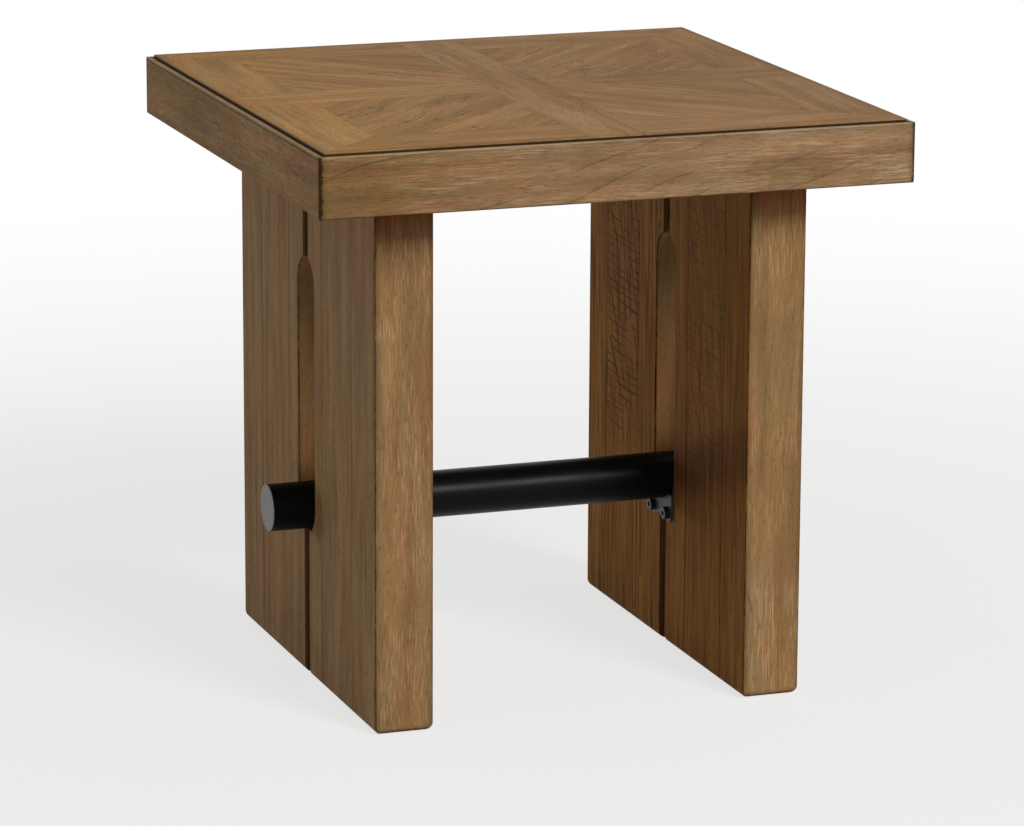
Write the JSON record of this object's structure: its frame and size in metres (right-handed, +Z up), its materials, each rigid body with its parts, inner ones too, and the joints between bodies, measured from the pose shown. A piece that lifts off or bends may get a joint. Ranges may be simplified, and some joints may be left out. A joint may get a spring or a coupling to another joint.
{
  "type": "side table",
  "caption": "Square rustic side table: a parquet top in mitred edge boards on wide, slotted plank legs, with a black steel tube stretcher through the slots.",
  "frame": {"origin": "on the floor, under the middle of the top: the bottom centre of the bounding box", "axes": "+X along the stretcher tube to the right, +Y to the back, +Z up"},
  "size_m": [0.61, 0.61, 0.6],
  "materials": {
    "parquet_wood": "wire-brushed, matt brown stain",
    "edge_wood": "wire-brushed, matt brown stain, rubbed arrises",
    "leg_wood": "wire-brushed and rough-sawn, matt brown stain",
    "spacer_wood": "dark brown stain",
    "plywood": "plain sanded plywood",
    "hidden_softwood": "planed softwood, stained",
    "beech": "plain beech",
    "insert_zinc": "zinc plated",
    "zinc_steel": "zinc plated",
    "black_bolt_steel": "black oxide",
    "black_steel": "semi-matt black powder coat",
    "tab_steel": "dark grey powder coat"
  },
  "bodies": {
    "root": {"core_panel": "plywood", "corner_blocks": "hidden_softwood", "edge_board_back": "edge_wood", "edge_board_front": "edge_wood", "edge_board_left": "edge_wood", "edge_board_right": "edge_wood", "left_inner_cleat": "hidden_softwood", "left_lag_bolts": "zinc_steel", "left_leg_back_inner_stave": "leg_wood", "left_leg_back_middle_stave": "leg_wood", "left_leg_back_outer_stave": "leg_wood", "left_leg_front_inner_stave": "leg_wood", "left_leg_front_middle_stave": "leg_wood", "left_leg_front_outer_stave": "leg_wood", "left_leg_lower_spacer": "spacer_wood", "left_leg_tenons": "beech", "left_leg_upper_spacer": "spacer_wood", "left_outer_cleat": "hidden_softwood", "leg_inserts": "insert_zinc", "mitre_splines": "beech", "parquet_border_back": "parquet_wood", "parquet_border_front": "parquet_wood", "parquet_border_left": "parquet_wood", "parquet_border_right": "parquet_wood", "parquet_centre_band": "parquet_wood", "parquet_cross_band": "parquet_wood", "parquet_field_back_left": "parquet_wood", "parquet_field_back_right": "parquet_wood", "parquet_field_front_left": "parquet_wood", "parquet_field_front_right": "parquet_wood", "right_inner_cleat": "hidden_softwood", "right_lag_bolts": "zinc_steel", "right_leg_back_inner_stave": "leg_wood", "right_leg_back_middle_stave": "leg_wood", "right_leg_back_outer_stave": "leg_wood", "right_leg_front_inner_stave": "leg_wood", "right_leg_front_middle_stave": "leg_wood", "right_leg_front_outer_stave": "leg_wood", "right_leg_lower_spacer": "spacer_wood", "right_leg_tenons": "beech", "right_leg_upper_spacer": "spacer_wood", "right_outer_cleat": "hidden_softwood", "stretcher_tube": "black_steel", "tab_bolts": "black_bolt_steel", "tube_end_caps": "black_steel", "tube_tabs": "tab_steel"}
  },
  "joints": []
}
